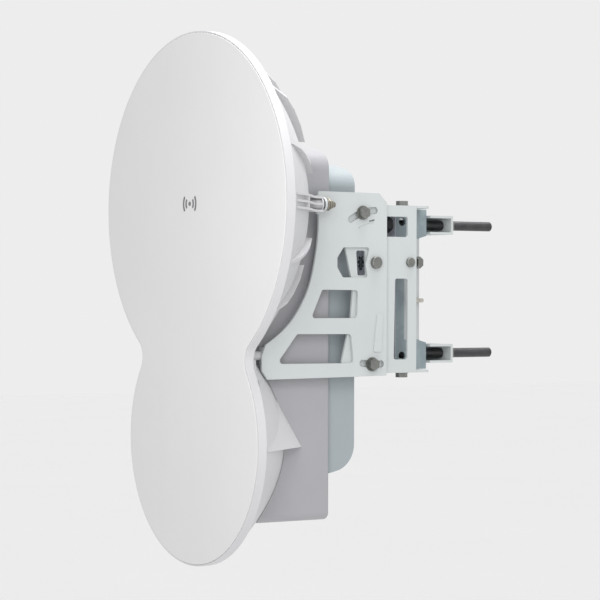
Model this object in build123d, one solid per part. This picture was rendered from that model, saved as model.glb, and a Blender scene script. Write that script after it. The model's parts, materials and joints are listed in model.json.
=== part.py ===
from build123d import *
import math
import os

os.makedirs("parts", exist_ok=True)

# Outdoor dual-dish wireless bridge on an adjustable pole bracket.
# Frame: +X right, +Y towards the pole, +Z up. Origin: on the jaw plane of the
# pole bracket, midway between the four clamp bolts. Millimetres throughout.

# ---- dish unit ----
FACE_Y = -300.0
R_UP = 212.5
R_LO = 152.4
Z_UP = 99.5
Z_LO = -184.6
WAIST_FILLET = 24.0
LIP_DEPTH = 12.0
LIP_WALL = 5.0
SEAM_INSET = 1.6
RADOME_T = 3.0
SKIRT_REAR_Y = -277.0
SKIRT_INSET = 12.0
BOWL_RIM_Y = -288.0
BOWL_DEPTH_UP = 118.0
BOWL_DEPTH_LO = 100.0
# ---- radio housing ----
HOUSE_HALF_X = 87.0
HOUSE_REAR_Y = -156.0
HOUSE_TOP_Z = 179.0
HOUSE_BOTTOM_Z = -281.0
HOUSE_WALL = 3.0
COVER_HALF_X = 80.0
COVER_REAR_Y = -115.0
COVER_TOP_Z = 156.0
# ---- port bay under the housing ----
BAY_HALF_X = 56.0
BAY_Y0 = -208.0
BAY_Y1 = -168.0
BAY_DEPTH = 20.0
CHANNEL_H = 4.6
# ---- bracket sheet metal ----
SHEET = 3.0
SIDE_OUT = 100.0
YOKE_OUT = 96.5
YOKE_TOP_Z = 103.5
YOKE_FLANGE_Y0 = -94.0
YOKE_FLANGE_Y1 = -10.0
POLE_HALF_X = 72.0
EARTH_X = 78.0  # earthing stud on the right cheek
EARTH_Z = -14.0
WEB_Y = -48.0
WEB_T = 4.0
JAW_TOP_Z = 100.0
JAW_LOW_Z = 67.0
CLAMP_HALF_X = 80.0
CLAMP_DEPTH = 36.0
CLAMP_LOW_Z = 69.0
CLAMP_TOP_Z = 92.5
# ---- pivots and fasteners ----
EL_Y = -97.7
EL_Z = 32.3
EL_LOCK_HI_R = 63.8
EL_LOCK_HI_DEG = 17.7
EL_LOCK_LO_R = 124.6
EL_LOCK_LO_DEG = 177.7
AZ_Y = -62.0
AZ_LOCK_X = 61.0
AZ_LOCK_Y = -30.0
M8_R = 4.0
M10_R = 5.0
M12_R = 6.0
STUD_X = 58.0
STUD_Z = 80.75
STUD_END_Y = 111.0
RELIEF_Y = 48.5


def save(name, shape):
    export_step(shape, "parts/" + name + ".step")


def box(x0, x1, y0, y1, z0, z1):
    mid = ((x0 + x1) / 2, (y0 + y1) / 2, (z0 + z1) / 2)
    return Pos(*mid) * Box(x1 - x0, y1 - y0, z1 - z0)


def rod(direction, r, start, length):
    plane = Plane(origin=start, z_dir=direction)
    return extrude(plane * Circle(r), length)


def tube(direction, r_out, r_in, start, length):
    plane = Plane(origin=start, z_dir=direction)
    return extrude(plane * (Circle(r_out) - Circle(r_in)), length)


def hexagon(direction, flats, start, length):
    plane = Plane(origin=start, z_dir=direction)
    return extrude(plane * RegularPolygon(flats / 2, 6, major_radius=False), length)


def polygon(points, corner=0.0):
    face = make_face(Polyline(*points, close=True))
    if corner > 0:
        face = fillet(face.vertices(), corner)
    return face


def along_x(face, x0, x1):
    # face drawn as (Y, Z)
    plane = Plane(origin=(x0, 0, 0), x_dir=(0, 1, 0), z_dir=(1, 0, 0))
    return extrude(plane * face, x1 - x0)


def along_y(face, y0, y1):
    # face drawn as (X, Z)
    plane = Plane(origin=(0, y1, 0), x_dir=(1, 0, 0), z_dir=(0, -1, 0))
    return extrude(plane * face, y1 - y0)


def along_z(face, z0, z1):
    # face drawn as (X, Y)
    return extrude(Plane(origin=(0, 0, z0)) * face, z1 - z0)


def mirrored(shape):
    return mirror(shape, about=Plane.YZ)


def both(shape):
    return Compound([shape, mirrored(shape)])


def group(shapes):
    return Compound(shapes)


def el_point(r, deg):
    # point at radius r round the elevation pivot, angle from straight up towards the front
    a = math.radians(deg)
    return (EL_Y - r * math.sin(a), EL_Z + r * math.cos(a))


def arc_slot(r, deg0, deg1, half_width):
    # slot along an arc round the elevation pivot, drawn as (Y, Z)
    steps = 8
    pts = [el_point(r, deg0 + (deg1 - deg0) * i / steps) for i in range(steps + 1)]
    path = Spline(*pts)
    slot = trace(path, 2 * half_width)
    for p in (pts[0], pts[-1]):
        slot = slot + Pos(*p) * Circle(half_width)
    return slot


def eight(inset):
    # outline of the two joined dishes with a rounded waist, drawn as (X, Z)
    r_up = R_UP - inset
    r_lo = R_LO - inset
    r_waist = WAIST_FILLET + inset
    z_gap = Z_UP - Z_LO
    along = (z_gap ** 2 + (r_up + r_waist) ** 2 - (r_lo + r_waist) ** 2) / (2 * z_gap)
    half = math.sqrt((r_up + r_waist) ** 2 - along ** 2)
    z_waist = Z_UP - along
    k_up = r_up / (r_up + r_waist)
    k_lo = r_lo / (r_lo + r_waist)
    x_up = half * k_up
    z_up = Z_UP - along * k_up
    x_lo = half * k_lo
    z_lo = Z_LO + (z_gap - along) * k_lo
    mid = Vector((x_up + x_lo) / 2 - half, (z_up + z_lo) / 2 - z_waist).normalized() * r_waist
    x_mid = half + mid.X
    z_mid = z_waist + mid.Y
    edges = ThreePointArc((x_up, z_up), (0, Z_UP + r_up), (-x_up, z_up))
    edges = edges + ThreePointArc((-x_up, z_up), (-x_mid, z_mid), (-x_lo, z_lo))
    edges = edges + ThreePointArc((-x_lo, z_lo), (0, Z_LO - r_lo), (x_lo, z_lo))
    edges = edges + ThreePointArc((x_lo, z_lo), (x_mid, z_mid), (x_up, z_up))
    return make_face(edges)


def bowl(radius, z, rim_y, depth, front_y):
    # solid of revolution between front_y and a paraboloid back
    steps = 8
    pts = []
    for i in range(steps + 1):
        r = radius * i / steps
        pts.append((r, rim_y + depth * (1 - (r / radius) ** 2)))
    edges = Spline(*pts) + Polyline((radius, rim_y), (radius, front_y), (0, front_y), (0, rim_y + depth))
    solid = revolve(make_face(edges), axis=Axis((0, 0, 0), (0, 1, 0)), revolution_arc=360)
    return Pos(0, 0, z) * solid


def bowl_y(x, z, gap=0.0):
    # back surface of the deeper bowl at (x, z)
    up = 1 - (x * x + (z - Z_UP) ** 2) / (R_UP - LIP_WALL + 2) ** 2
    lo = 1 - (x * x + (z - Z_LO) ** 2) / (R_LO - LIP_WALL + 2) ** 2
    return BOWL_RIM_Y + gap + max(BOWL_DEPTH_UP * up, BOWL_DEPTH_LO * lo, 0)


# =====================================================================
# dish unit
# =====================================================================
radome = along_y(eight(SEAM_INSET + 0.3), FACE_Y, FACE_Y + RADOME_T)
radome = fillet(radome.faces().sort_by(Axis.Y)[0].edges(), 0.8)
save("radome", radome)

seal_outer = eight(SEAM_INSET + 2.4)
seal_inner = eight(SEAM_INSET + 6.4)
save("radome_seal", along_y(seal_outer - seal_inner, FACE_Y + RADOME_T, FACE_Y + RADOME_T + 1.6))

# small raised mark: a dot between two pairs of arcs
mark = Pos(-5.0, Z_UP + 3.5) * Circle(2.6)
for arc_r in (8.5, 14.5):
    ring = Circle(arc_r + 1.3) - Circle(arc_r - 1.3)
    wedge_r = polygon([(0, 0), (24, -17), (24, 17)])
    wedge_l = polygon([(0, 0), (-24, 17), (-24, -17)])
    mark = mark + Pos(-5.0, Z_UP + 3.5) * ((ring & wedge_r) + (ring & wedge_l))
save("radome_mark", along_y(mark, FACE_Y - 0.5, FACE_Y))

back_up = bowl(R_UP - LIP_WALL + 2, Z_UP, BOWL_RIM_Y, BOWL_DEPTH_UP, FACE_Y + 1)
back_lo = bowl(R_LO - LIP_WALL + 2, Z_LO, BOWL_RIM_Y, BOWL_DEPTH_LO, FACE_Y + 1)
inner_up = bowl(R_UP - 12, Z_UP, BOWL_RIM_Y - 4, BOWL_DEPTH_UP - 1.5, FACE_Y - 1)
inner_lo = bowl(R_LO - 12, Z_LO, BOWL_RIM_Y - 4, BOWL_DEPTH_LO - 1.5, FACE_Y - 1)
lip = along_y(eight(0), FACE_Y + 1, FACE_Y + LIP_DEPTH)
skirt_zone = Pos(0, Z_LO - 60) * Rectangle(2 * R_LO + 20, 320)
skirt_face = (eight(SKIRT_INSET) & skirt_zone) - (eight(SKIRT_INSET + 6) & skirt_zone)
skirt = along_y(skirt_face, FACE_Y + LIP_DEPTH, SKIRT_REAR_Y)
shell = lip + back_up + back_lo + skirt

# radial ribs behind the upper dish
RIBS = ((20, 9.0), (42, 13.0), (51, 9.0), (60, 9.0), (-20, 9.0), (-38, 9.0))
for deg, lift in RIBS:
    a = math.radians(deg)
    rib_pts = []
    for r in (203, 188, 170, 145, 118):
        y = BOWL_RIM_Y + BOWL_DEPTH_UP * (1 - (r / (R_UP - LIP_WALL + 2)) ** 2)
        rise = lift * min(1.0, (206 - r) / 20)
        rib_pts.append((r, y + rise))
    face = make_face(Polyline(*rib_pts, (118, BOWL_RIM_Y + 60), (203, BOWL_RIM_Y - 2), close=True))
    rib = extrude(face, 2.0, both=True)
    rib = Pos(0, 0, Z_UP) * (Rot(0, -deg, 0) * rib)
    shell = shell + rib + mirrored(rib)

# wedge-shaped gussets behind the waist, running back along the housing
foot_top = polygon([(HOUSE_HALF_X + 0.4, -284), (HOUSE_HALF_X + 0.4, -250), (128, -284)])
foot_low = polygon([(HOUSE_HALF_X + 0.4, -284), (HOUSE_HALF_X + 0.4, -197), (147, -284)])
ledge = loft([Plane(origin=(0, 0, -191)) * foot_low, Plane(origin=(0, 0, -108)) * foot_top])
wedge = ledge & along_y(eight(3.5), -290, -100)
shell = shell + wedge + mirrored(wedge)

# stand-off bosses that carry the side plates
BOSS_X = 111.0
BOSS_Z = 101.5
BOSS_END_Y = -184.2
LOW_BOSS_X = 91.5
LOW_BOSS_Z = -80.0
LOW_BOSS_END_Y = -258.0
BOSS_FACE_Y = BOSS_END_Y - 2.0
boss = rod((0, 1, 0), 6.6, (BOSS_X, -240, BOSS_Z), BOSS_FACE_Y + 240)
boss = boss + box(BOSS_X - 8, BOSS_X + 8, -250, BOSS_FACE_Y - 2, BOSS_Z - 1.5, BOSS_Z + 1.5)
boss = boss + rod((0, 1, 0), 8.2, (BOSS_X, BOSS_FACE_Y - 2, BOSS_Z), 2)
# keels along the bowl from the rim to the stand-off, with one cross web
keel_pts = [(r, bowl_y(r, Z_UP) + lift) for r, lift in ((203, 3.0), (180, 6.0), (156, 7.0), (132, 7.0))]
keel_pts += [(120, -197), (119, BOSS_FACE_Y - 1), (103, BOSS_FACE_Y - 1), (103, -240), (203, -290)]
keel_face = make_face(Polyline(*keel_pts, close=True))
for dz in (-8.0, 0.0, 8.0):
    boss = boss + along_z(keel_face, BOSS_Z + dz - 1.3, BOSS_Z + dz + 1.3)
boss = boss + box(165, 168, -260, bowl_y(166.5, Z_UP) + 5.5, BOSS_Z - 9, BOSS_Z + 9)
shell = shell + boss + mirrored(boss)
low_boss = rod((0, 1, 0), 5.4, (LOW_BOSS_X, -285, LOW_BOSS_Z), LOW_BOSS_END_Y + 285)
shell = shell + low_boss + mirrored(low_boss)
stud_hole = rod((0, 1, 0), M8_R, (BOSS_X, BOSS_END_Y - 14, BOSS_Z), 15)
low_hole = rod((0, 1, 0), 2.6, (LOW_BOSS_X, LOW_BOSS_END_Y - 14, LOW_BOSS_Z), 15)

pocket = along_y(eight(SEAM_INSET), FACE_Y - 1, FACE_Y + RADOME_T)
seal_pocket = along_y(eight(SEAM_INSET + 2), FACE_Y + RADOME_T - 1, FACE_Y + RADOME_T + 1.8)
shell = shell - inner_up - inner_lo - pocket - seal_pocket
for hole in (stud_hole, low_hole):
    shell = shell - hole - mirrored(hole)
FEED_R = 14.0
for z in (Z_UP, Z_LO):
    shell = shell - rod((0, 1, 0), FEED_R + 0.3, (0, -220, z), 60)
save("reflector_shell", shell)

# feeds: waveguide tube, dielectric cone and sub-reflector
for tag, z, depth, sub_r in (("upper", Z_UP, BOWL_DEPTH_UP, 34.0), ("lower", Z_LO, BOWL_DEPTH_LO, 26.0)):
    y_back = BOWL_RIM_Y + depth + 1
    tip_y = y_back - 72
    feed = tube((0, -1, 0), FEED_R, 5.5, (0, y_back, z), 72)
    save("feed_tube_" + tag, feed)
    cone_face = make_face(Polyline((0, tip_y), (FEED_R, tip_y), (sub_r, tip_y - 16), (0, tip_y - 16), close=True))
    cone = revolve(cone_face, axis=Axis((0, 0, 0), (0, 1, 0)), revolution_arc=360)
    save("feed_cone_" + tag, Pos(0, 0, z) * cone)
    sub = rod((0, -1, 0), sub_r, (0, tip_y - 16, z), 2.5)
    save("subreflector_" + tag, sub)

# =====================================================================
# radio housing and rear cover
# =====================================================================


def arched(half_x, top_z, bottom_z, crown, corner):
    # rounded rectangle with a shallow arched top, drawn as (X, Z)
    side_z = top_z - crown
    arch = ThreePointArc((-half_x, side_z), (0, top_z), (half_x, side_z))
    rest = Polyline((half_x, side_z), (half_x, bottom_z), (-half_x, bottom_z), (-half_x, side_z))
    face = make_face(arch + rest)
    top = face.vertices().filter_by(lambda v: v.Y > 0)
    face = fillet(top, corner)
    low = face.vertices().filter_by(lambda v: v.Y < bottom_z + 0.1)
    return fillet(low, 9.0)


GAP = 0.3
grow_up = bowl(R_UP - LIP_WALL + 2, Z_UP, BOWL_RIM_Y + GAP, BOWL_DEPTH_UP + 0.1, FACE_Y - 5)
grow_lo = bowl(R_LO - LIP_WALL + 2 + GAP, Z_LO, BOWL_RIM_Y + GAP, BOWL_DEPTH_LO + 0.1, FACE_Y - 5)
house_face = arched(HOUSE_HALF_X, HOUSE_TOP_Z, HOUSE_BOTTOM_Z, 17.0, 24.0)
house = along_y(house_face, SKIRT_REAR_Y + GAP, HOUSE_REAR_Y)
rear_edges = house.faces().sort_by(Axis.Y)[-1].edges()
house = fillet(rear_edges, 4.0)
hollow_face = arched(HOUSE_HALF_X - HOUSE_WALL, HOUSE_TOP_Z - HOUSE_WALL, HOUSE_BOTTOM_Z + HOUSE_WALL, 17.0, 21.0)
house = house - along_y(hollow_face, -290, HOUSE_REAR_Y - HOUSE_WALL)
open_face = arched(COVER_HALF_X - 10, COVER_TOP_Z - 10, -168.0, 15.0, 18.0)
house = house - along_y(open_face, HOUSE_REAR_Y - 10, HOUSE_REAR_Y + 5)
bay = box(-BAY_HALF_X, BAY_HALF_X, BAY_Y0, BAY_Y1, HOUSE_BOTTOM_Z - 1, HOUSE_BOTTOM_Z + BAY_DEPTH)
bay_wall = box(
    -BAY_HALF_X - 2.5,
    BAY_HALF_X + 2.5,
    BAY_Y0 - 2.5,
    BAY_Y1 + 2.5,
    HOUSE_BOTTOM_Z + 1,
    HOUSE_BOTTOM_Z + BAY_DEPTH + 2.5,
)
floor_add = box(-72, 72, BAY_Y0 - 8, HOUSE_REAR_Y - 1, HOUSE_BOTTOM_Z + 1, HOUSE_BOTTOM_Z + CHANNEL_H + 2.5)
channel = box(-68.2, 68.2, BAY_Y0 - 5.5, HOUSE_REAR_Y + 1, HOUSE_BOTTOM_Z - 1, HOUSE_BOTTOM_Z + CHANNEL_H)
low_boss_room = box(LOW_BOSS_X - 6.2, LOW_BOSS_X, -290, -246, LOW_BOSS_Z - 10.5, LOW_BOSS_Z + 10.5)
house = house + bay_wall + floor_add - bay - channel - grow_up - grow_lo
house = house - low_boss_room - mirrored(low_boss_room)
JACKS_X = (-34.0, -8.0)
AUX_X = 16.0
GPS_X = 36.0
JACK_Y = -188.0
roof_z = HOUSE_BOTTOM_Z + BAY_DEPTH
for x in JACKS_X:
    house = house - box(x - 8.3, x + 8.3, JACK_Y - 7.3, JACK_Y + 7.3, roof_z - 1, roof_z + 4)
house = house - box(AUX_X - 6.8, AUX_X + 6.8, JACK_Y - 7.3, JACK_Y + 7.3, roof_z - 1, roof_z + 4)
house = house - rod((0, 0, 1), 4.3, (GPS_X, JACK_Y, roof_z - 1), 5)
save("radio_housing", house)

profile = [(HOUSE_REAR_Y, 190), (COVER_REAR_Y, 190), (COVER_REAR_Y, -217), (HOUSE_REAR_Y, -226)]
side_profile = polygon(profile)
low_corner = [v for v in side_profile.vertices() if v.Y < -210 and v.X > COVER_REAR_Y - 5]
side_profile = fillet(low_corner, 33.0)
cover = along_x(side_profile, -COVER_HALF_X, COVER_HALF_X)
cover = cover & along_y(arched(COVER_HALF_X, COVER_TOP_Z, -232.5, 15.0, 22.0), HOUSE_REAR_Y, COVER_REAR_Y + 1)
inner = along_x(offset(side_profile, -4.0), -COVER_HALF_X + 4, COVER_HALF_X - 4)
inner = inner & along_y(arched(COVER_HALF_X - 4, COVER_TOP_Z - 4, -228.0, 15.0, 19.0), HOUSE_REAR_Y - 1, COVER_REAR_Y)
front_open = along_y(arched(COVER_HALF_X - 11, COVER_TOP_Z - 11, -166.0, 15.0, 17.0), HOUSE_REAR_Y - 1, HOUSE_REAR_Y + 6)
cover = cover - inner - front_open
seal_path = arched(COVER_HALF_X - 6.0, COVER_TOP_Z - 6.0, -172.0, 15.0, 20.0)
seal_hole = arched(COVER_HALF_X - 9.0, COVER_TOP_Z - 9.0, -169.0, 15.0, 18.0)
cover = cover - along_y(seal_path - seal_hole, HOUSE_REAR_Y - 1, HOUSE_REAR_Y + 2)
save("rear_cover", cover)
save("cover_seal", along_y(seal_path - seal_hole, HOUSE_REAR_Y, HOUSE_REAR_Y + 2))

# =====================================================================
# electronics
# =====================================================================
board = box(-64, 64, -149.5, -147.5, -160, 136)
for x in (-58, 58):
    for z in (-154, 130):
        board = board - rod((0, 1, 0), 1.7, (x, -152, z), 10)
save("main_board", board)
chips = [box(-14, 14, -147.5, -145.0, 18, 46), box(-14, 14, -147.5, -145.0, -40, -12)]
for x in (-40, 32):
    for z in (-80, -20, 40, 88):
        chips.append(box(x, x + 11, -147.5, -145.8, z, z + 14))
save("processor_chips", group(chips))
save("heat_spreader", box(-50, 50, -144.5, -124.0, -52, 60) - box(-44, 44, -139.5, -123, -46, 54))
save("transmit_module", box(-34, 34, -168.5, -152.0, Z_UP - 34, Z_UP + 34))
save("receive_module", box(-34, 34, -186.0, -160.0, Z_LO - 38, Z_LO + 34))
save("gps_antenna", box(-13, 13, -150.0, -132.0, 144, 149))
spacers = []
for x in (-58, 58):
    for z in (-154, 130):
        spacers.append(tube((0, 1, 0), 3.5, 1.6, (x, -147.5, z), 14))
save("board_spacers", group(spacers))

# =====================================================================
# port bay under the housing
# =====================================================================
jacks = []
for x in JACKS_X:
    body = box(x - 8, x + 8, JACK_Y - 7, JACK_Y + 7, roof_z - 2.5, roof_z + 16)
    jacks.append(body - box(x - 5.9, x + 5.9, JACK_Y - 4, JACK_Y + 4.2, roof_z - 4, roof_z + 12))
save("ethernet_jacks", group(jacks))
contacts = []
for x in JACKS_X:
    for i in range(8):
        cx = x - 3.6 + i * 1.02
        contacts.append(box(cx, cx + 0.45, JACK_Y - 3.9, JACK_Y - 3.4, roof_z + 1, roof_z + 11))
save("jack_contacts", group(contacts))
aux = box(AUX_X - 6.5, AUX_X + 6.5, JACK_Y - 7, JACK_Y + 7, roof_z - 2.5, roof_z + 14)
save("audio_aux_jack", aux - box(AUX_X - 4.8, AUX_X + 4.8, JACK_Y - 4, JACK_Y + 4, roof_z - 4, roof_z + 10))
gps = rod((0, 0, 1), 4.0, (GPS_X, JACK_Y, roof_z - 8), 18) - rod((0, 0, 1), 2.6, (GPS_X, JACK_Y, roof_z - 9), 7)
gps = gps + rod((0, 0, 1), 0.6, (GPS_X, JACK_Y, roof_z - 7), 8)
save("gps_connector", gps)
save("status_window", box(-53, -46, JACK_Y - 12, JACK_Y + 12, roof_z - 1.5, roof_z))
DOOR_Z = HOUSE_BOTTOM_Z + CHANNEL_H - 0.4
door = box(-64.5, 64.5, BAY_Y0 - 5, BAY_Y1 + 5, DOOR_Z - 3, DOOR_Z)
door = fillet(door.edges().filter_by(Axis.Z), 2.0)
for i in range(5):
    door = door + box(-20, 20, BAY_Y1 - 8 + 2.2 * i, BAY_Y1 - 7 + 2.2 * i, DOOR_Z - 3.8, DOOR_Z - 3)
door = door - rod((0, 0, 1), 9.0, (-30, JACK_Y, DOOR_Z - 4), 6)
door = door - rod((0, 0, 1), 9.0, (10, JACK_Y, DOOR_Z - 4), 6)
save("port_door", door)
grommets = []
for x in (-30, 10):
    g = tube((0, 0, 1), 8.9, 3.4, (x, JACK_Y, DOOR_Z - 3), 3)
    flange = tube((0, 0, -1), 10.5, 3.4, (x, JACK_Y, DOOR_Z - 3), 1.2)
    grommets.append(g + flange)
save("door_grommets", group(grommets))
rail = box(-68, -63, BAY_Y0 - 5, HOUSE_REAR_Y - 1, HOUSE_BOTTOM_Z, HOUSE_BOTTOM_Z + CHANNEL_H)
rail = rail - box(-64.9, -62, -240, -150, DOOR_Z - 3.3, DOOR_Z + 0.5)
save("door_rails", group([rail, mirrored(rail)]))

# =====================================================================
# side plates, fixed to the dish unit
# =====================================================================
front_edge = [
    (-181.5, 90),
    (-182.5, 60),
    (-187.5, 30),
    (-196, 0),
    (-209.5, -25),
    (-226, -45),
    (-241, -57),
    (-256.5, -67),
]
outline = Spline(*front_edge) + Polyline(
    (-256.5, -67),
    (-261.8, -80),
    (-261.8, -98),
    (-254, -108.5),
    (-80.5, -106.5),
    (-80.5, 106),
    (-92, 117.5),
    (-181.5, 118),
    (-181.5, 90),
)
plate_face = make_face(outline)
d_window = polygon([(-109, 14), (-146, 14), (-154, 26), (-154, 38), (-145, 50.5), (-106, 51), (-112, 30)], 3.0)
mid_window = polygon([(-176, -1), (-123.5, -1.5), (-124.5, -35.5), (-192, -35.5)], 3.5)
low_window = polygon([(-212, -54.5), (-133.5, -55), (-129.5, -90.5), (-241, -90)], 4.0)
plate_face = plate_face - d_window - mid_window - low_window
plate_face = plate_face - arc_slot(EL_LOCK_HI_R, EL_LOCK_HI_DEG - 17, EL_LOCK_HI_DEG + 17, 4.4)
plate_face = plate_face - arc_slot(EL_LOCK_LO_R, EL_LOCK_LO_DEG - 6.4, EL_LOCK_LO_DEG + 6.4, 4.4)
plate_face = plate_face - Pos(EL_Y, EL_Z) * Circle(M10_R + 0.05)
plate = along_x(plate_face, SIDE_OUT - SHEET, SIDE_OUT)
bead = along_x(polygon([(-95.5, -31), (-87, -31), (-89, -77), (-101, -77)], 2.5), SIDE_OUT, SIDE_OUT + 1.5)
tab = rod((0, 1, 0), 8.6, (BOSS_X, BOSS_END_Y, BOSS_Z), SHEET)
tab = tab + box(SIDE_OUT - SHEET, BOSS_X, BOSS_END_Y, BOSS_END_Y + SHEET, BOSS_Z - 7, BOSS_Z + 7)
tab = tab + box(SIDE_OUT - SHEET, SIDE_OUT, BOSS_END_Y, -180, BOSS_Z - 11.5, BOSS_Z + 11.5)
tab = tab - rod((0, 1, 0), M8_R + 0.3, (BOSS_X, -190, BOSS_Z), 12)
low_tab = box(LOW_BOSS_X - 5.8, SIDE_OUT, LOW_BOSS_END_Y, LOW_BOSS_END_Y + 3, LOW_BOSS_Z - 10, LOW_BOSS_Z + 10)
low_tab = low_tab - rod((0, 1, 0), 2.9, (LOW_BOSS_X, LOW_BOSS_END_Y - 2, LOW_BOSS_Z), 8)
plate = plate + bead + tab + low_tab
scale_mark = along_x(arc_slot(49.0, 4, 30, 0.5), SIDE_OUT - 0.6, SIDE_OUT + 1)
pointer_hole = along_x(polygon([(-107, 84), (-99, 85.5), (-99, 83.5), (-107, 82)]), SIDE_OUT - 5, SIDE_OUT + 1)
plate = plate - scale_mark - pointer_hole
save("side_plate_right", plate)
# the left plate also carries the fork that the elevation screw pushes
fork = box(80.8, SIDE_OUT - SHEET, -145.0, -141.0, EL_Z - 62 - 14, EL_Z - 62 + 14)
fork = fork - box(79, 92.6, -150, -130, EL_Z - 62 - 10, EL_Z - 62 + 10)
save("side_plate_left", mirrored(plate + fork))

# studs, gaskets and cone nuts that hold the plates to the stand-offs
studs = []
nuts = []
gaskets = []
spots = (
    (BOSS_X, BOSS_END_Y, BOSS_Z, M8_R, 13.0, 6.0, 7.5, 1.6),
    (LOW_BOSS_X, LOW_BOSS_END_Y, LOW_BOSS_Z, 2.5, 8.0, 3.8, 5.0, 0.0),
)
for x, y, z, r, flats, hex_h, cone_h, gasket in spots:
    pin = rod((0, 1, 0), r - 0.05, (x, y - 13, z), 13 + SHEET + gasket + hex_h)
    studs += [pin, mirrored(pin)]
    seat = y + SHEET + gasket
    nut = hexagon((0, 1, 0), flats, (x, seat, z), hex_h)
    cone_plane = Plane(origin=(x, seat + hex_h, z), z_dir=(0, 1, 0))
    nut = nut + loft([cone_plane * Circle(flats / 2 - 0.2), cone_plane.offset(cone_h) * Circle(flats / 4)])
    nut = nut - rod((0, 1, 0), r, (x, y, z), SHEET + gasket + hex_h)
    nuts += [nut, mirrored(nut)]
for y, t in ((BOSS_FACE_Y, 2.0), (BOSS_END_Y + SHEET, 1.6)):
    ring = tube((0, 1, 0), 7.4, M8_R, (BOSS_X, y, BOSS_Z), t)
    gaskets += [ring, mirrored(ring)]
save("plate_gaskets", group(gaskets))
save("plate_studs", group(studs))
save("plate_nuts", group(nuts))

# =====================================================================
# tilt yoke: carries the side plates, turns in azimuth on the pole bracket
# =====================================================================
yoke_pts = [
    (-33, -YOKE_TOP_Z),
    (-33, YOKE_TOP_Z),
    (-92, YOKE_TOP_Z),
    (-132, 101),
    (-143, 88),
    (-143, 76),
    (-140, 50),
    (-131, 13),
    (-129, -2),
    (-132, -36),
    (-136.5, -55),
    (-145, -89),
    (-141, -98),
    (-96, -YOKE_TOP_Z),
]
yoke_face = make_face(Polyline(*yoke_pts, close=True))
yoke_face = yoke_face - polygon([(-80.5, 64.5), (-46.5, 64.5), (-46.5, 89.5), (-83, 89.5)], 2.5)
yoke_face = yoke_face - polygon([(-67.5, -87), (-46.5, -87), (-46.5, 13), (-65.5, 13)], 3.0)
yoke_face = yoke_face - polygon([(-122, 16.5), (-109, 16.5), (-110.5, 47), (-124, 47)], 2.5)
hi = el_point(EL_LOCK_HI_R, EL_LOCK_HI_DEG)
lo = el_point(EL_LOCK_LO_R, EL_LOCK_LO_DEG)
for p in (hi, lo):
    yoke_face = yoke_face - Pos(*p) * Circle(M8_R + 0.05)
yoke_face = yoke_face - Pos(EL_Y, EL_Z) * Circle(M10_R + 0.05)
AZ_PIN_Y = -43.0
AZ_PIN_Z = 33.2
EL_PIN_Y = -73.0
EL_PIN_Z = EL_Z - 62.0
right_face = yoke_face - Pos(AZ_PIN_Y, AZ_PIN_Z) * Circle(M8_R + 0.05)
left_face = yoke_face - Pos(EL_PIN_Y, EL_PIN_Z) * Circle(M8_R + 0.05)
left_face = left_face - polygon([(-160, -56), (-127.0, -52), (-127.0, -4), (-160, 2)])
yoke = along_x(right_face, YOKE_OUT - SHEET, YOKE_OUT)
yoke = yoke + along_x(left_face, -YOKE_OUT, -YOKE_OUT + SHEET)


def az_slot(x, y, span, half_width):
    # arc slot round the azimuth pivot, drawn as (X, Y)
    r = math.hypot(x, y - AZ_Y)
    a0 = math.atan2(y - AZ_Y, x)
    steps = 6
    pts = []
    for i in range(steps + 1):
        a = a0 + math.radians(span) * (2 * i / steps - 1)
        pts.append((r * math.cos(a), AZ_Y + r * math.sin(a)))
    slot = trace(Spline(*pts), 2 * half_width)
    for p in (pts[0], pts[-1]):
        slot = slot + Pos(*p) * Circle(half_width)
    return slot


flange = Pos(0, (YOKE_FLANGE_Y0 + YOKE_FLANGE_Y1) / 2) * Rectangle(2 * YOKE_OUT - 1, YOKE_FLANGE_Y1 - YOKE_FLANGE_Y0)
rear_corners = flange.vertices().sort_by(Axis.Y)[-2:]
flange = fillet(rear_corners, 8.0)
flange = flange - polygon([(-42, 0), (-42, -26), (-30, -44), (30, -44), (42, -26), (42, 0)])
for sx in (1, -1):
    slot = az_slot(AZ_LOCK_X, AZ_LOCK_Y, 10.6, 4.4)
    flange = flange - (slot if sx > 0 else mirror(slot, about=Plane.YZ))
flange = flange - Pos(0, AZ_Y) * Circle(M10_R + 0.05)
yoke = yoke + along_z(flange, YOKE_TOP_Z - SHEET, YOKE_TOP_Z)
yoke = yoke + along_z(flange, -YOKE_TOP_Z, -YOKE_TOP_Z + SHEET)
save("tilt_yoke", yoke)


def bolt_m(direction, r, flats, head_h, washer_r, start, shank):
    # hexagon flange bolt: start is the seat under the head, direction points along the shank
    back = (-direction[0], -direction[1], -direction[2])
    seat = Vector(*start)
    d = Vector(*back)
    flange_disc = rod(back, washer_r, start, 1.6)
    head = hexagon(back, flats, tuple(seat + d * 1.6), head_h - 1.6)
    return flange_disc + head + rod(direction, r, start, shank)


def nut_m(direction, r, flats, height, start):
    return hexagon(direction, flats, start, height) - rod(direction, r + 0.02, start, height)


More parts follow.
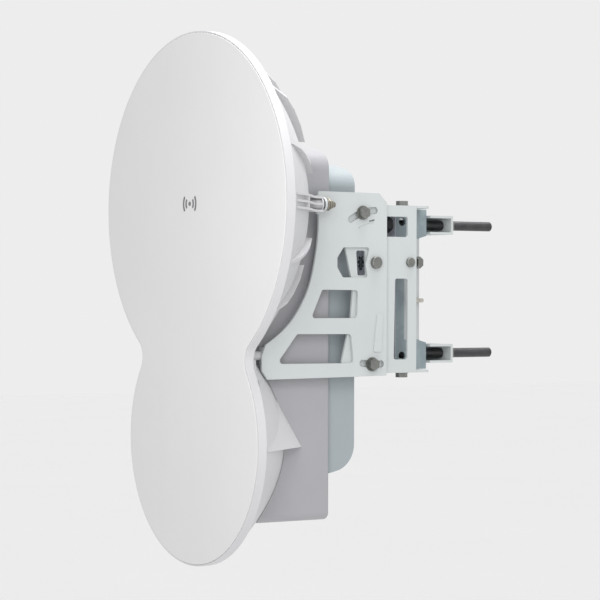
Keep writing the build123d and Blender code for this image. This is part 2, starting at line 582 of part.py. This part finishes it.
y, z = EL_Y, EL_Z
pivot = rod((1, 0, 0), 7.5, (SIDE_OUT + 0.3, y, z), 5) + rod((-1, 0, 0), M10_R, (SIDE_OUT + 0.3, y, z), 12.0)
pivot = fillet(pivot.faces().sort_by(Axis.X)[-1].edges(), 1.5)
save("el_pivot_bolts", both(pivot))
pivot_nut = nut_m((-1, 0, 0), M10_R, 15.0, 4.2, (YOKE_OUT - SHEET, y, z))
lock_bolts = []
lock_nuts = []
for p in (hi, lo):
    b = bolt_m((-1, 0, 0), M8_R, 13.0, 7.0, 8.7, (SIDE_OUT + 0.1, p[0], p[1]), 13.5)
    lock_bolts += [b, mirrored(b)]
    n = nut_m((-1, 0, 0), M8_R, 13.0, 6.5, (YOKE_OUT - SHEET, p[0], p[1]))
    lock_nuts += [n, mirrored(n)]
save("el_lock_bolts", group(lock_bolts))
save("el_lock_nuts", group(lock_nuts + [pivot_nut, mirrored(pivot_nut)]))

# blocks pinned to the yoke cheeks that hold the two adjusting screws
SCREW_X = 88.0
az_block = box(80.5, YOKE_OUT - SHEET, AZ_PIN_Y - 7, AZ_PIN_Y + 7, AZ_PIN_Z - 9, AZ_PIN_Z + 9)
az_block = az_block - rod((0, 1, 0), M8_R + 0.06, (SCREW_X, AZ_PIN_Y - 10, AZ_PIN_Z), 20)
el_block = box(80.5, YOKE_OUT - SHEET, EL_PIN_Y - 7, EL_PIN_Y + 7, EL_PIN_Z - 9, EL_PIN_Z + 9)
el_block = el_block - rod((0, 1, 0), M8_R + 0.06, (SCREW_X, EL_PIN_Y - 10, EL_PIN_Z), 20)
save("adjuster_blocks", group([az_block, mirrored(el_block)]))
az_pin = rod((1, 0, 0), 6.0, (YOKE_OUT, AZ_PIN_Y, AZ_PIN_Z), 3.5)
az_pin = fillet(az_pin.faces().sort_by(Axis.X)[-1].edges(), 1.2)
az_pin = az_pin + rod((-1, 0, 0), M8_R, (YOKE_OUT, AZ_PIN_Y, AZ_PIN_Z), SHEET)
el_pin = rod((1, 0, 0), 6.0, (YOKE_OUT, EL_PIN_Y, EL_PIN_Z), 0.4) + rod((-1, 0, 0), M8_R, (YOKE_OUT, EL_PIN_Y, EL_PIN_Z), SHEET)
save("adjuster_pins", group([az_pin, mirrored(el_pin)]))


def adjuster(x, z, y_tip, y_head):
    # long screw along +Y with a hexagon head at its rear end
    screw = rod((0, 1, 0), M8_R, (x, y_tip, z), y_head - y_tip)
    return screw + hexagon((0, 1, 0), 13.0, (x, y_head, z), 7.5)


save("az_adjust_screw", adjuster(SCREW_X, AZ_PIN_Z, -88.0, -28.5))
save("el_adjust_screw", adjuster(-SCREW_X, EL_PIN_Z, -148.5, -61.0))

# =====================================================================
# pole bracket
# =====================================================================


def toothed_v(half_open, depth, teeth, tooth):
    # V-shaped mouth with saw teeth along both flanks, apex at (0, -depth), opening at Y = 0
    right = []
    for i in range(teeth):
        t0 = i / teeth
        t1 = (i + 0.5) / teeth
        right.append((t0 * half_open, -depth * (1 - t0)))
        right.append((t1 * half_open + tooth, -depth * (1 - t1) - 0.2))
    right.append((half_open, 0))
    right.append((half_open, 2))
    left = [(-x, y) for x, y in reversed(right)]
    return make_face(Polyline(*(right + left[:-1]), close=True))


web_pts = [(-POLE_HALF_X, -JAW_TOP_Z), (POLE_HALF_X, -JAW_TOP_Z), (POLE_HALF_X, JAW_TOP_Z), (-POLE_HALF_X, JAW_TOP_Z)]
web_face = polygon(web_pts)
web_face = web_face - Pos(0, -32) * SlotOverall(56, 30, rotation=90)
for sx in (1, -1):
    for sz in (1, -1):
        web_face = web_face - Pos(sx * STUD_X, sz * STUD_Z) * Circle(M12_R + 0.3)
bracket = along_y(web_face, WEB_Y, WEB_Y + WEB_T)
mouth = toothed_v(38.0, 28.0, 7, 1.6)
plate_xy = polygon([(-POLE_HALF_X, WEB_Y), (POLE_HALF_X, WEB_Y), (POLE_HALF_X, 0), (-POLE_HALF_X, 0)]) - mouth
nose = Pos(0, -62) * Circle(16) + Pos(0, -54) * Rectangle(32, 16)
for sz in (1, -1):
    z_hi = sz * (JAW_TOP_Z - SHEET)
    z_lo = sz * JAW_LOW_Z
    outer = plate_xy + nose
    outer = outer - Pos(0, AZ_Y) * Circle(M10_R + 0.05)
    for sx in (1, -1):
        outer = outer - Pos(sx * AZ_LOCK_X, AZ_LOCK_Y) * Circle(M8_R + 0.05)
    bracket = bracket + along_z(outer, min(z_hi, z_hi + sz * SHEET), max(z_hi, z_hi + sz * SHEET))
    bracket = bracket + along_z(plate_xy, min(z_lo, z_lo + sz * SHEET), max(z_lo, z_lo + sz * SHEET))
cheek = polygon(
    [
        (WEB_Y, -JAW_TOP_Z),
        (0, -JAW_TOP_Z),
        (0, -JAW_LOW_Z),
        (-11, -JAW_LOW_Z + 3),
        (-11, JAW_LOW_Z - 3),
        (0, JAW_LOW_Z),
        (0, JAW_TOP_Z),
        (WEB_Y, JAW_TOP_Z),
    ]
)
for z in (84.0, -83.0):
    cheek = cheek - Pos(-37.5, z) * Circle(5.0)
cheeks = along_x(cheek, POLE_HALF_X - SHEET, POLE_HALF_X)
bracket = bracket + cheeks + mirrored(cheeks)
# earth lug on the right cheek
bracket = bracket + box(POLE_HALF_X, 84, -27, -24, EARTH_Z - 8, EARTH_Z + 8)
bracket = bracket - rod((0, 1, 0), 2.5, (EARTH_X, -28, EARTH_Z), 6)
# arm and fork that the azimuth screw pushes
arm = box(POLE_HALF_X - SHEET, POLE_HALF_X, -74, WEB_Y + 2, AZ_PIN_Z - 13, AZ_PIN_Z + 13)
az_fork = box(POLE_HALF_X - SHEET, 89.0, -72, -68, AZ_PIN_Z - 12, AZ_PIN_Z + 12)
az_fork = az_fork - box(78.5, 95, -80, -60, AZ_PIN_Z - 5.4, AZ_PIN_Z + 5.4)
bracket = bracket + arm + az_fork
# stiffening ribs pressed across the web
for z in (38.0, 0.0, -38.0):
    for sx in (1, -1):
        bracket = bracket + box(sx * 22 if sx > 0 else -62, 62 if sx > 0 else -22, WEB_Y - 1.2, WEB_Y, z - 4, z + 4)
save("pole_bracket", bracket)
ground = rod((0, 1, 0), 2.5, (EARTH_X, -27, EARTH_Z), 17) + hexagon((0, 1, 0), 8.0, (EARTH_X, -24, EARTH_Z), 4)
save("ground_screw", ground)

az_pivots = []
az_locks = []
az_nuts = []
for sz in (1, -1):
    top = sz * (YOKE_TOP_Z + 0.1)
    down = (0, 0, -sz)
    az_pivots.append(bolt_m(down, M10_R, 15.0, 7.5, 10.5, (0, AZ_Y, top), 15.5))
    az_nuts.append(nut_m(down, M10_R, 15.0, 6.5, (0, AZ_Y, sz * (JAW_TOP_Z - SHEET))))
    for sx in (1, -1):
        az_locks.append(bolt_m(down, M8_R, 13.0, 7.0, 8.7, (sx * AZ_LOCK_X, AZ_LOCK_Y, top), 14.0))
        az_nuts.append(nut_m(down, M8_R, 13.0, 5.5, (sx * AZ_LOCK_X, AZ_LOCK_Y, sz * (JAW_TOP_Z - SHEET))))
save("az_pivot_bolts", group(az_pivots))
save("az_lock_bolts", group(az_locks))
save("az_nuts", group(az_nuts))

clamp_bolts = []
for sx in (1, -1):
    for sz in (1, -1):
        start = (sx * STUD_X, WEB_Y, sz * STUD_Z)
        head = hexagon((0, -1, 0), 18.0, start, 7.5)
        shank = rod((0, 1, 0), M12_R, start, STUD_END_Y - WEB_Y)
        tip = shank.faces().sort_by(Axis.Y)[-1].edges()
        relief = tube((0, 1, 0), M12_R + 1, M12_R - 0.3, (sx * STUD_X, RELIEF_Y, sz * STUD_Z), 1.5)
        clamp_bolts.append(head + chamfer(tip, 1.0) - relief)
save("clamp_bolts", group(clamp_bolts))

# =====================================================================
# pole clamps, sliding on the long bolts
# =====================================================================
back_mouth = mirror(toothed_v(38.0, 26.0, 7, 1.6), about=Plane.XZ)
for tag, sz in (("upper", 1), ("lower", -1)):
    z_a = CLAMP_LOW_Z
    z_b = CLAMP_TOP_Z
    flange_xy = polygon([(-CLAMP_HALF_X, 0.3), (CLAMP_HALF_X, 0.3), (CLAMP_HALF_X, CLAMP_DEPTH), (-CLAMP_HALF_X, CLAMP_DEPTH)])
    flange_xy = flange_xy - back_mouth
    clamp = along_z(flange_xy, z_a, z_a + SHEET) + along_z(flange_xy, z_b - SHEET, z_b)
    web = box(-CLAMP_HALF_X, CLAMP_HALF_X, CLAMP_DEPTH - SHEET, CLAMP_DEPTH, z_a, z_b)
    for sx in (1, -1):
        web = web - rod((0, 1, 0), M12_R + 0.08, (sx * STUD_X, 0, STUD_Z), 50)
    clamp = clamp + web
    nuts = []
    for sx in (1, -1):
        start = (sx * STUD_X, CLAMP_DEPTH, STUD_Z)
        washer = tube((0, 1, 0), 11.5, M12_R + 0.08, start, 2.0)
        nut = hexagon((0, 1, 0), 18.0, (sx * STUD_X, CLAMP_DEPTH + 2, STUD_Z), 9.5)
        nut = nut - rod((0, 1, 0), M12_R + 0.08, start, 14)
        nuts.append(washer + nut)
    nuts = group(nuts)
    if sz < 0:
        clamp = mirror(clamp, about=Plane.XY)
        nuts = mirror(nuts, about=Plane.XY)
    save("pole_clamp_" + tag, clamp)
    save("clamp_nuts_" + tag, nuts)
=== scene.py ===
import json
import math

import bmesh
import bpy
from mathutils import Matrix, Vector


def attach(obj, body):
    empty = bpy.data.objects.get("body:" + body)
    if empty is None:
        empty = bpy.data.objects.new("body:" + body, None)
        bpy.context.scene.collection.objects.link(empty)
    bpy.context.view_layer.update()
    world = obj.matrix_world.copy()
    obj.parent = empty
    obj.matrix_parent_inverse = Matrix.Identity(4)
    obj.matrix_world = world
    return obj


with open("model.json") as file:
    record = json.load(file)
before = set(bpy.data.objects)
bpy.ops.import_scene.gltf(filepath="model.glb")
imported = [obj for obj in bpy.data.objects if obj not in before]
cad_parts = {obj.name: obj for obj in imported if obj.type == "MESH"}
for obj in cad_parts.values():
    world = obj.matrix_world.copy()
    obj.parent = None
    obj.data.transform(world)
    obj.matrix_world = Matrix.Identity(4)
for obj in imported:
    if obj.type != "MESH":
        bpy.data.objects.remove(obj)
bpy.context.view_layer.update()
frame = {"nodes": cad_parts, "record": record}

MM = 0.001
NODES = frame["nodes"]


# ---------------------------------------------------------------- materials
class Mat:
    """Builds a node material on object coordinates, in metres."""

    def __init__(self, name, rough=0.5, metallic=0.0, spec=0.5):
        self.mat = bpy.data.materials.new(name)
        self.mat.use_nodes = True
        self.tree = self.mat.node_tree
        self.links = self.tree.links
        self.shader = self.tree.nodes["Principled BSDF"]
        self.shader.inputs["Roughness"].default_value = rough
        self.shader.inputs["Metallic"].default_value = metallic
        self.shader.inputs["Specular IOR Level"].default_value = spec
        self.coord = self.tree.nodes.new("ShaderNodeTexCoord").outputs["Object"]
        self.height = None

    def node(self, kind, **props):
        n = self.tree.nodes.new(kind)
        for key, value in props.items():
            setattr(n, key, value)
        return n

    def noise(self, scale, detail=3.0, rough=0.55, stretch=None, distortion=0.0):
        source = self.coord
        if stretch:
            m = self.node("ShaderNodeMapping")
            m.inputs["Scale"].default_value = stretch
            self.links.new(self.coord, m.inputs["Vector"])
            source = m.outputs["Vector"]
        n = self.node("ShaderNodeTexNoise")
        n.inputs["Scale"].default_value = scale
        n.inputs["Detail"].default_value = detail
        n.inputs["Roughness"].default_value = rough
        n.inputs["Distortion"].default_value = distortion
        self.links.new(source, n.inputs["Vector"])
        return n.outputs["Fac"]

    def ramp(self, fac, stops):
        r = self.node("ShaderNodeValToRGB")
        el = r.color_ramp.elements
        while len(el) < len(stops):
            el.new(0.5)
        for e, (pos, col) in zip(el, stops):
            e.position = pos
            e.color = (*col, 1)
        self.links.new(fac, r.inputs["Fac"])
        return r.outputs["Color"]

    def remap(self, fac, a, b, c, d):
        m = self.node("ShaderNodeMapRange")
        for i, v in zip(("From Min", "From Max", "To Min", "To Max"), (a, b, c, d)):
            m.inputs[i].default_value = v
        self.links.new(fac, m.inputs["Value"])
        return m.outputs["Result"]

    def math(self, op, a, b):
        m = self.node("ShaderNodeMath", operation=op)
        for i, v in enumerate((a, b)):
            if isinstance(v, (int, float)):
                m.inputs[i].default_value = v
            else:
                self.links.new(v, m.inputs[i])
        return m.outputs[0]

    def mix(self, fac, a, b):
        m = self.node("ShaderNodeMix", data_type="RGBA", blend_type="MIX")
        for key, v in ((0, fac), (6, a), (7, b)):
            if isinstance(v, (int, float)):
                m.inputs[key].default_value = v
            elif isinstance(v, tuple):
                m.inputs[key].default_value = (*v, 1)
            else:
                self.links.new(v, m.inputs[key])
        return m.outputs[2]

    def base(self, color):
        self.links.new(color, self.shader.inputs["Base Color"])

    def rough(self, value):
        self.links.new(value, self.shader.inputs["Roughness"])

    def bump(self, height, strength, distance):
        b = self.node("ShaderNodeBump")
        b.inputs["Strength"].default_value = strength
        b.inputs["Distance"].default_value = distance
        self.links.new(height, b.inputs["Height"])
        if self.height is not None:
            self.links.new(self.height, b.inputs["Normal"])
        self.height = b.outputs["Normal"]
        self.links.new(self.height, self.shader.inputs["Normal"])

    def up_facing(self):
        g = self.node("ShaderNodeNewGeometry")
        s = self.node("ShaderNodeSeparateXYZ")
        self.links.new(g.outputs["Normal"], s.inputs[0])
        return self.remap(s.outputs["Z"], 0.2, 0.95, 0.0, 1.0)


def scaled(rgb, k):
    return tuple(min(1.0, c * k) for c in rgb)


def painted(name, rgb, rough, grain_scale, grain_depth, mottle, dust):
    """Powder coat or moulded plastic: cloudy tone, fine grain, settled dust, specks."""
    m = Mat(name, rough=rough)
    cloud = m.noise(9.0, 4.0, 0.6)
    tone = m.ramp(cloud, [(0.32, scaled(rgb, 1 - mottle)), (0.68, scaled(rgb, 1 + mottle * 0.6))])
    streak = m.remap(m.noise(26.0, 3.0, 0.6, stretch=(1.0, 1.0, 0.16)), 0.52, 0.8, 0.0, 0.10)
    tone = m.mix(streak, tone, scaled(rgb, 0.86))
    settled = m.math("MULTIPLY", m.up_facing(), m.remap(m.noise(60.0, 5.0), 0.35, 0.75, 0.2, 1.0))
    tone = m.mix(m.math("MULTIPLY", settled, dust), tone, (0.46, 0.43, 0.38))
    speck = m.remap(m.noise(900.0, 1.0), 0.74, 0.80, 0.0, 0.18)
    tone = m.mix(speck, tone, scaled(rgb, 0.72))
    m.base(tone)
    m.rough(m.remap(m.noise(34.0, 4.0), 0.3, 0.7, rough - 0.07, rough + 0.09))
    m.bump(m.noise(grain_scale, 2.0, 0.5), 0.35, grain_depth)
    m.bump(m.noise(22.0, 2.0, 0.5), 0.12, 0.0006)
    return m.mat


def metal(name, rgb, rough, tarnish, dark=(0.10, 0.09, 0.08)):
    """Plated or bare metal: mottled tone, stains and a fine grain."""
    m = Mat(name, rough=rough, metallic=1.0)
    cloud = m.noise(70.0, 5.0, 0.65)
    tone = m.ramp(cloud, [(0.3, scaled(rgb, 0.78)), (0.7, scaled(rgb, 1.12))])
    stain = m.remap(m.noise(210.0, 4.0, 0.7), 0.55, 0.75, 0.0, tarnish)
    tone = m.mix(stain, tone, dark)
    m.base(tone)
    fine = m.noise(1400.0, 2.0, 0.5, stretch=(1.0, 1.0, 1.0))
    broad = m.remap(cloud, 0.3, 0.7, rough - 0.06, rough + 0.12)
    m.rough(m.math("ADD", broad, m.remap(fine, 0.3, 0.7, -0.05, 0.05)))
    m.bump(fine, 0.25, 0.00008)
    return m.mat


def threaded(name, rgb, rough, pitch, dark=(0.03, 0.03, 0.03)):
    """Steel rod along Y whose thread shows as fine bands; pitch in metres."""
    m = Mat(name, rough=rough, metallic=0.85)
    wave = m.node(
        "ShaderNodeTexWave", wave_type="BANDS", bands_direction="Y", wave_profile="SIN"
    )
    wave.inputs["Scale"].default_value = 2 * math.pi / (20.0 * pitch)
    wave.inputs["Distortion"].default_value = 0.0
    m.links.new(m.coord, wave.inputs["Vector"])
    cloud = m.noise(90.0, 4.0, 0.6)
    tone = m.ramp(cloud, [(0.3, scaled(rgb, 0.7)), (0.7, scaled(rgb, 1.25))])
    tone = m.mix(m.remap(wave.outputs["Fac"], 0.0, 1.0, 0.75, 0.0), tone, dark)
    m.base(tone)
    m.rough(m.remap(cloud, 0.3, 0.7, rough - 0.08, rough + 0.12))
    m.bump(wave.outputs["Fac"], 0.6, 0.0006)
    return m.mat


def rubber(name):
    m = Mat(name, rough=0.75, spec=0.35)
    dark, worn = (0.018, 0.018, 0.020), (0.055, 0.055, 0.058)
    tone = m.ramp(m.noise(120.0, 4.0), [(0.3, dark), (0.75, worn)])
    m.base(tone)
    m.bump(m.noise(1800.0, 2.0), 0.4, 0.0001)
    return m.mat


def plain(name, rgb, rough, metallic=0.0, grain=600.0):
    m = Mat(name, rough=rough, metallic=metallic)
    tone = m.ramp(m.noise(grain / 6, 4.0), [(0.3, scaled(rgb, 0.85)), (0.7, scaled(rgb, 1.1))])
    m.base(tone)
    m.rough(m.remap(m.noise(grain, 3.0), 0.3, 0.7, max(0.02, rough - 0.08), rough + 0.08))
    m.bump(m.noise(grain * 2, 2.0), 0.2, 0.0001)
    return m.mat


MATS = {
    "radome_white": painted(
        "radome_satin_white", (0.645, 0.645, 0.645), 0.42, 1500.0, 0.00012, 0.012, 0.05
    ),
    "shell_white": painted(
        "shell_white_paint", (0.585, 0.585, 0.60), 0.47, 1100.0, 0.00018, 0.02, 0.08
    ),
    "housing_paint": painted(
        "housing_grey_paint", (0.36, 0.36, 0.378), 0.52, 900.0, 0.00025, 0.03, 0.10
    ),
    "bracket_paint": painted(
        "bracket_powder_coat", (0.545, 0.575, 0.575), 0.44, 1000.0, 0.00025, 0.03, 0.08
    ),
    "mark_grey": plain("mark_grey_print", (0.16, 0.16, 0.17), 0.4),
    "seal_rubber": rubber("seal_black_rubber"),
    "feed_metal": metal(
        "feed_cast_aluminium", (0.72, 0.73, 0.74), 0.36, tarnish=0.1, dark=(0.4, 0.4, 0.4)
    ),
    "feed_plastic": plain("feed_white_dielectric", (0.80, 0.80, 0.76), 0.4),
    "board_green": plain("board_green_mask", (0.02, 0.14, 0.06), 0.35),
    "chip_black": plain("chip_black_resin", (0.02, 0.02, 0.022), 0.5),
    "patch_ceramic": plain("patch_tan_ceramic", (0.56, 0.46, 0.32), 0.6),
    "zinc_steel": metal("zinc_plate", (0.60, 0.58, 0.52), 0.34, tarnish=0.25),
    "contact_gold": metal("contact_gold_plate", (0.83, 0.62, 0.25), 0.25, tarnish=0.05),
    "window_glass": plain("window_smoked_glass", (0.02, 0.022, 0.025), 0.08),
    "door_plastic": painted(
        "door_grey_plastic", (0.52, 0.52, 0.55), 0.55, 1300.0, 0.0002, 0.02, 0.05
    ),
    "bolt_steel": metal("bolt_weathered_steel", (0.27, 0.275, 0.26), 0.40, tarnish=0.5),
    "stud_steel": threaded("stud_dark_steel", (0.11, 0.11, 0.115), 0.34, 0.00175),
}


# the pole bracket's painted shade and its paler areas (a lit strip, and painted light on the
# web's front), in metres in the row's frame, and their colours
STRIP_FRONT_Y = -0.034
STRIP_HALF_Z = 0.063
STRIP_HALF_X = 0.071
WEB_FRONT_Y = -0.0477
# colours: painted shade (teal), the coat's own lit tone on the strip, painted light on the web's
# front, random paler patches and specks within the shade
COAT_PAINTED_SHADE = (0.27, 0.33, 0.355)
COAT_LIT_STRIP = (0.54, 0.565, 0.57)
COAT_PAINTED_LIGHT_FRONT = (0.78, 0.76, 0.84)
COAT_PATCH = (0.36, 0.43, 0.45)
COAT_SPECK = (0.18, 0.22, 0.24)
SOFT = 0.0005
WEB_SOFT = 0.0002


def bracket_painted_shade_coat():
    """Painted shade: a dark teal inner coat over the whole bracket; the cheeks' rear strip keeps
    the coat's own lit colour and the web's front has painted light, paler still.
    """
    m = Mat("bracket_painted_shade_and_light", rough=0.48)
    xyz = m.node("ShaderNodeSeparateXYZ")
    m.links.new(m.coord, xyz.inputs[0])
    across, height = (m.math("ABSOLUTE", xyz.outputs[axis], 0.0) for axis in "XZ")
    behind = m.remap(xyz.outputs["Y"], STRIP_FRONT_Y - SOFT, STRIP_FRONT_Y + SOFT, 0.0, 1.0)
    middle = m.remap(height, STRIP_HALF_Z - SOFT, STRIP_HALF_Z + SOFT, 1.0, 0.0)
    outside = m.remap(across, STRIP_HALF_X - SOFT, STRIP_HALF_X + SOFT, 0.0, 1.0)
    strip = m.math("MULTIPLY", m.math("MULTIPLY", behind, middle), outside)
    front = m.remap(xyz.outputs["Y"], WEB_FRONT_Y - WEB_SOFT, WEB_FRONT_Y + WEB_SOFT, 1.0, 0.0)
    cloud = m.noise(9.0, 4.0, 0.6)
    # painted shade: the whole bracket starts as a dark teal
    tone = m.ramp(cloud, [(0.32, scaled(COAT_PAINTED_SHADE, 0.95)), (0.68, scaled(COAT_PAINTED_SHADE, 1.04))])
    # the cheeks' rear strip is lifted out of the painted shade to the coat's own lit colour
    tone = m.mix(strip, tone, COAT_LIT_STRIP)
    # painted light: the web's front is made paler than the coat
    tone = m.mix(front, tone, COAT_PAINTED_LIGHT_FRONT)
    # random paler patches inside the painted shade, kept off the lit strip
    patch = m.remap(m.noise(38.0, 2.0, 0.4, distortion=0.6), 0.52, 0.56, 0.0, 0.35)
    off_strip = m.math("MULTIPLY", patch, m.math("SUBTRACT", 1.0, strip))
    tone = m.mix(off_strip, tone, COAT_PATCH)
    speck = m.remap(m.noise(900.0, 1.0), 0.74, 0.80, 0.0, 0.18)
    tone = m.mix(speck, tone, COAT_SPECK)
    m.base(tone)
    m.rough(m.remap(m.noise(34.0, 4.0), 0.3, 0.7, 0.42, 0.57))
    m.bump(m.noise(1000.0, 2.0, 0.5), 0.35, 0.00025)
    return m.mat


# pole bracket material with painted shade and painted light
BRACKET_PAINTED_SHADE = bracket_painted_shade_coat()
CONE_NUT = threaded("cone_nut_steel", (0.42, 0.39, 0.33), 0.36, 0.0042, (0.10, 0.09, 0.07))
# rear cover: the housing grey with a cool teal tint painted in to stand for the shade on it
COVER_PAINTED_SHADE = painted("cover_grey_painted_shade", (0.335, 0.375, 0.395), 0.52, 900.0, 0.00025, 0.04, 0.10)
# the pole bracket and rear cover take these painted-shade materials in place of their slot's
# paint
SPECIAL = {"pole_bracket": BRACKET_PAINTED_SHADE, "rear_cover": COVER_PAINTED_SHADE, "plate_nuts": CONE_NUT}
for part in frame["record"]["subparts"]:
    obj = NODES[part["node"]]
    obj.data.materials.clear()
    obj.data.materials.append(SPECIAL.get(part["node"], MATS[part["material_slot"]]))


# ---------------------------------------------------------------- clip pin
def turned(name, axis_point, steps, segments=20):
    """Mesh of revolution about a vertical line; steps are (height, radius) in mm."""
    bm = bmesh.new()
    rings = []
    for height, radius in steps:
        ring = []
        for i in range(segments):
            a = 2 * math.pi * i / segments
            x = axis_point[0] + radius * math.cos(a)
            y = axis_point[1] + radius * math.sin(a)
            ring.append(bm.verts.new(Vector((x, y, height)) * MM))
        rings.append(ring)
    for low, high in zip(rings, rings[1:]):
        for i in range(segments):
            j = (i + 1) % segments
            bm.faces.new((low[i], low[j], high[j], high[i]))
    bm.faces.new(list(reversed(rings[0])))
    bm.faces.new(rings[-1])
    mesh = bpy.data.meshes.new(name)
    bm.to_mesh(mesh)
    bm.free()
    obj = bpy.data.objects.new(name, mesh)
    bpy.context.scene.collection.objects.link(obj)
    return obj


# small dark clip pin behind the plate's D-shaped window: (height, radius) in mm
CLIP_AXIS = (85.0, -109.0)
CLIP_STEPS = (
    (23.0, 1.2),
    (24.0, 2.0),
    (27.0, 2.0),
    (27.2, 3.4),
    (29.0, 3.4),
    (29.2, 2.2),
    (31.0, 2.2),
    (31.2, 3.9),
    (34.6, 3.9),
    (34.8, 2.0),
    (38.0, 2.0),
    (38.2, 2.9),
    (39.6, 2.9),
    (40.6, 1.4),
)
clip = turned("window_clip_pin", CLIP_AXIS, CLIP_STEPS)
clip.data.materials.append(plain("clip_blackened_steel", (0.03, 0.035, 0.04), 0.4, 0.6))
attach(clip, "yoke")


# ---------------------------------------------------------------- stage, light, camera
CAM_AZ = math.radians(56.787)
CAM_PITCH = math.radians(0.194)
CAM_ROLL = math.radians(0.158)
CAM_POS = Vector((2.4806, -1.7667, -0.0039))
FOCAL_PX = 2370.1
FRAME_PX = 600.0
SENSOR_MM = 36.0

forward = Vector(
    (
        -math.sin(CAM_AZ) * math.cos(CAM_PITCH),
        math.cos(CAM_AZ) * math.cos(CAM_PITCH),
        -math.sin(CAM_PITCH),
    )
)
right = forward.cross(Vector((0, 0, 1))).normalized()
up = right.cross(forward)
right, up = (
    right * math.cos(CAM_ROLL) + up * math.sin(CAM_ROLL),
    up * math.cos(CAM_ROLL) - right * math.sin(CAM_ROLL),
)
cam_data = bpy.data.cameras.new("camera")
cam_data.sensor_width = SENSOR_MM
cam_data.lens = FOCAL_PX / FRAME_PX * SENSOR_MM
cam_data.clip_end = 60.0
camera = bpy.data.objects.new("camera", cam_data)
rot = Matrix((right, up, -forward)).transposed()
camera.matrix_world = Matrix.Translation(CAM_POS) @ rot.to_4x4()
bpy.context.scene.collection.objects.link(camera)
bpy.context.scene.camera = camera

FLOOR_Z = -1.6
FLOOR_HALF = 30
FLOOR_SIGNS = ((-1, -1), (1, -1), (1, 1), (-1, 1))
floor_mesh = bpy.data.meshes.new("floor")
floor_mesh.from_pydata(
    [(FLOOR_HALF * sx, FLOOR_HALF * sy, FLOOR_Z) for sx, sy in FLOOR_SIGNS], [], [(0, 1, 2, 3)]
)
floor = bpy.data.objects.new("floor", floor_mesh)
bpy.context.scene.collection.objects.link(floor)
floor_mat = Mat("floor_pale", rough=0.9, spec=0.1)
floor_tones = [(0.3, (0.985, 0.985, 0.985)), (0.7, (0.995, 0.995, 0.995))]
floor_mat.base(floor_mat.ramp(floor_mat.noise(0.8, 3.0), floor_tones))
floor_mesh.materials.append(floor_mat.mat)

WORLD_STRENGTH = 0.847
world = bpy.data.worlds.new("studio")
bpy.context.scene.world = world
world.use_nodes = True
backdrop = world.node_tree.nodes["Background"]
backdrop.inputs["Color"].default_value = (1.0, 1.0, 1.0, 1)
backdrop.inputs["Strength"].default_value = WORLD_STRENGTH


def area(name, pos, aim, size, power):
    """Rectangular lamp at pos, turned to aim; sizes in metres, power in watts."""
    data = bpy.data.lights.new(name, "AREA")
    data.shape = "RECTANGLE"
    data.size, data.size_y = size
    data.energy = power
    lamp = bpy.data.objects.new(name, data)
    lamp.location = pos
    lamp.rotation_euler = (Vector(aim) - Vector(pos)).to_track_quat("-Z", "Y").to_euler()
    lamp.visible_camera = False
    bpy.context.scene.collection.objects.link(lamp)


area("key_right", (1.9, -0.5, 1.5), (0.05, -0.2, 0.0), (0.7, 0.7), 6.5)
area("face_front", (0.55, -0.72, 0.12), (0.14, -0.3, 0.0), (0.25, 0.95), 2.4)
area("top_soft", (0.1, -0.05, 1.2), (0.0, -0.15, 0.1), (0.6, 0.6), 15.0)

bpy.context.scene.view_settings.view_transform = "Standard"
bpy.context.scene.view_settings.look = "None"
